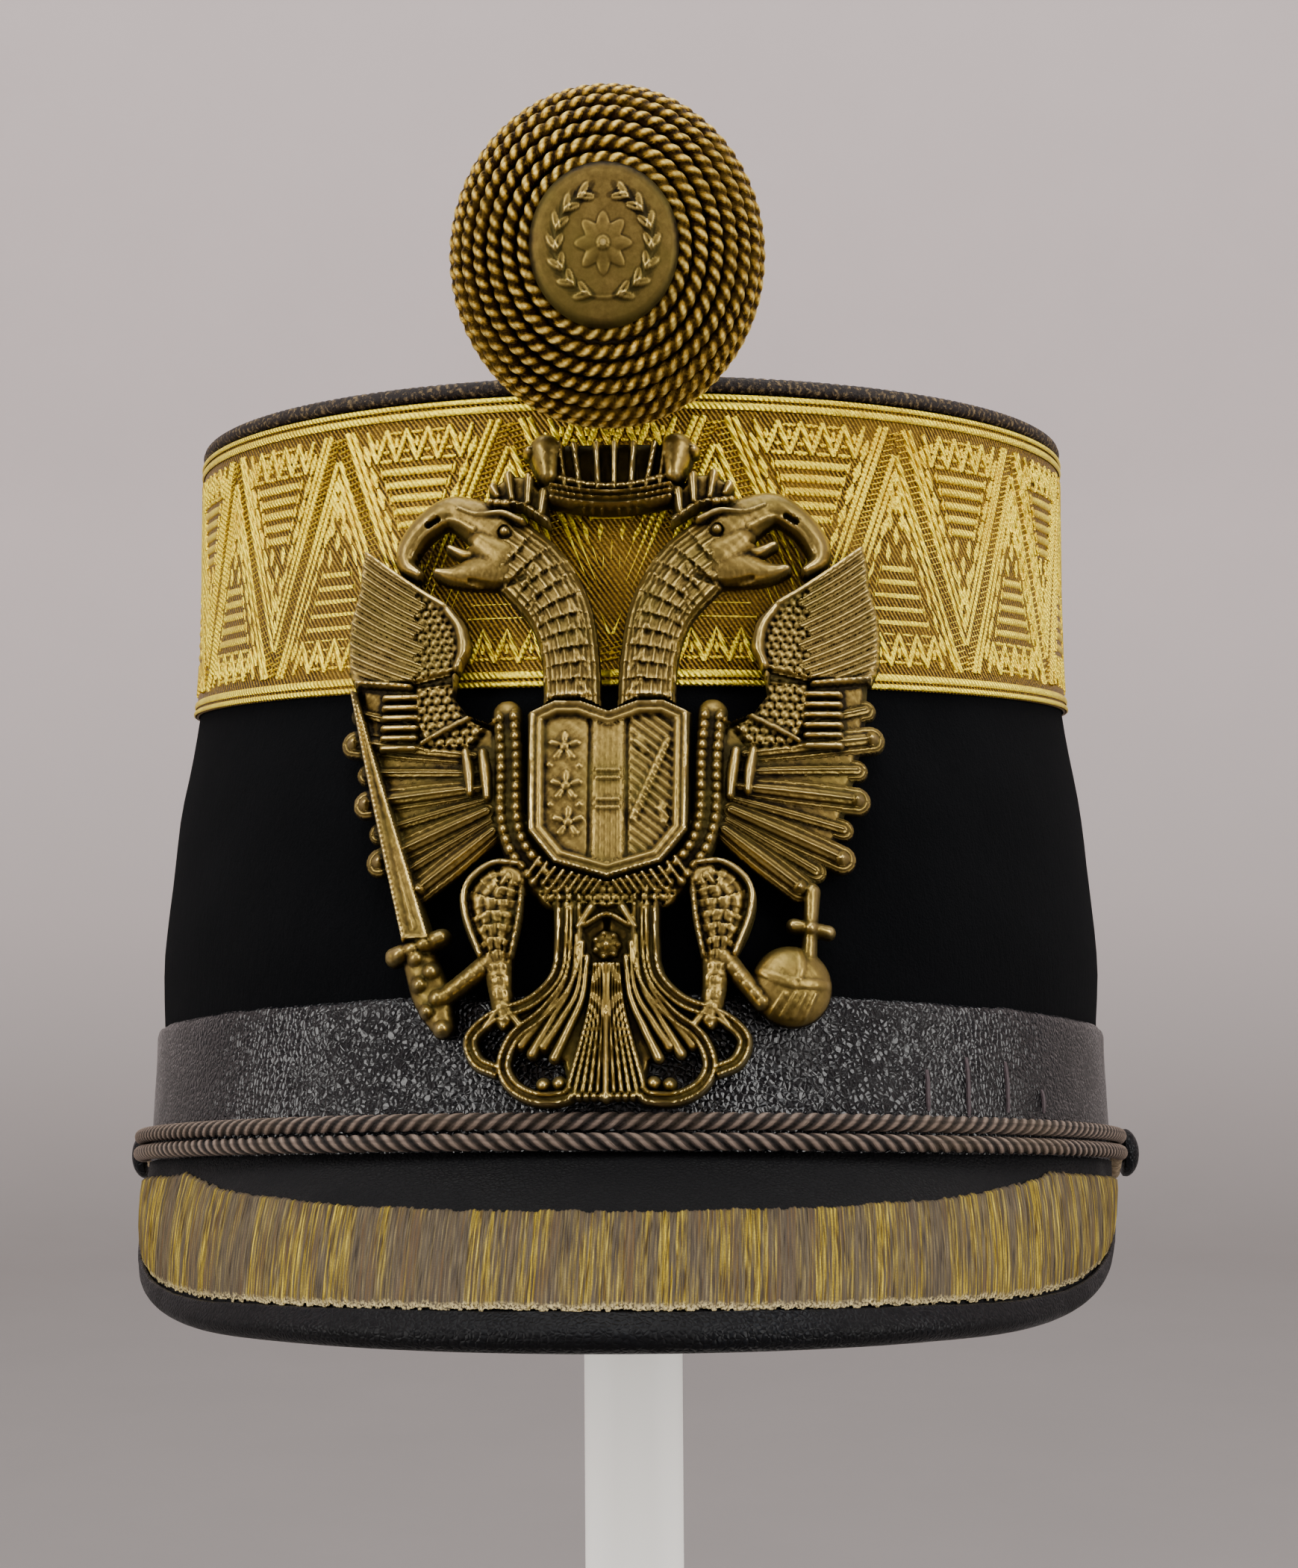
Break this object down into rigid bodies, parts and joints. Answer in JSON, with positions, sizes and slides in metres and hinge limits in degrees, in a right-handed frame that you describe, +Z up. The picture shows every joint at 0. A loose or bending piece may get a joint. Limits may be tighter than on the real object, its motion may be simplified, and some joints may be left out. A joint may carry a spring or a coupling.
{
  "type": "shako hat on stand",
  "caption": "Laced felt shako with raised pierced eagle badge, roped cockade, bound visor and twisted chin cords, on a plain round post stand.",
  "frame": {"origin": "centre of the flat underside of the stand's round base, on the post's axis", "axes": "+Z up along the post, the hat's front faces -Y, +X is the wearer's left"},
  "size_m": [0.18, 0.2512, 0.4178],
  "materials": {
    "felt": "matt black felt with a short nap",
    "leather": "black grained leather, worn gloss",
    "gold_lace": "woven gold-thread lace, bright edges",
    "visor_lace": "tarnished thread lace with yellow streaks",
    "twisted_cord": "grey-brown twisted cord",
    "aged_brass": "aged cast brass, dark in the hollows",
    "gold_bullion": "gold bullion rope",
    "white_paint": "satin white paint"
  },
  "bodies": {
    "root": {"felt_shell": "felt", "leather_band": "leather", "lace_band": "gold_lace", "crown_lid": "leather", "rim_piping": "leather", "visor_plate": "leather", "visor_lace": "visor_lace", "visor_binding": "leather", "chin_cord_upper": "twisted_cord", "chin_cord_lower": "twisted_cord", "side_button_left": "leather", "side_button_right": "leather", "eagle_badge": "aged_brass", "cockade_rope": "gold_bullion", "cockade_disc": "aged_brass", "cockade_stem": "leather", "stand_base": "white_paint", "stand_post": "white_paint", "stand_pad": "white_paint"}
  },
  "joints": []
}
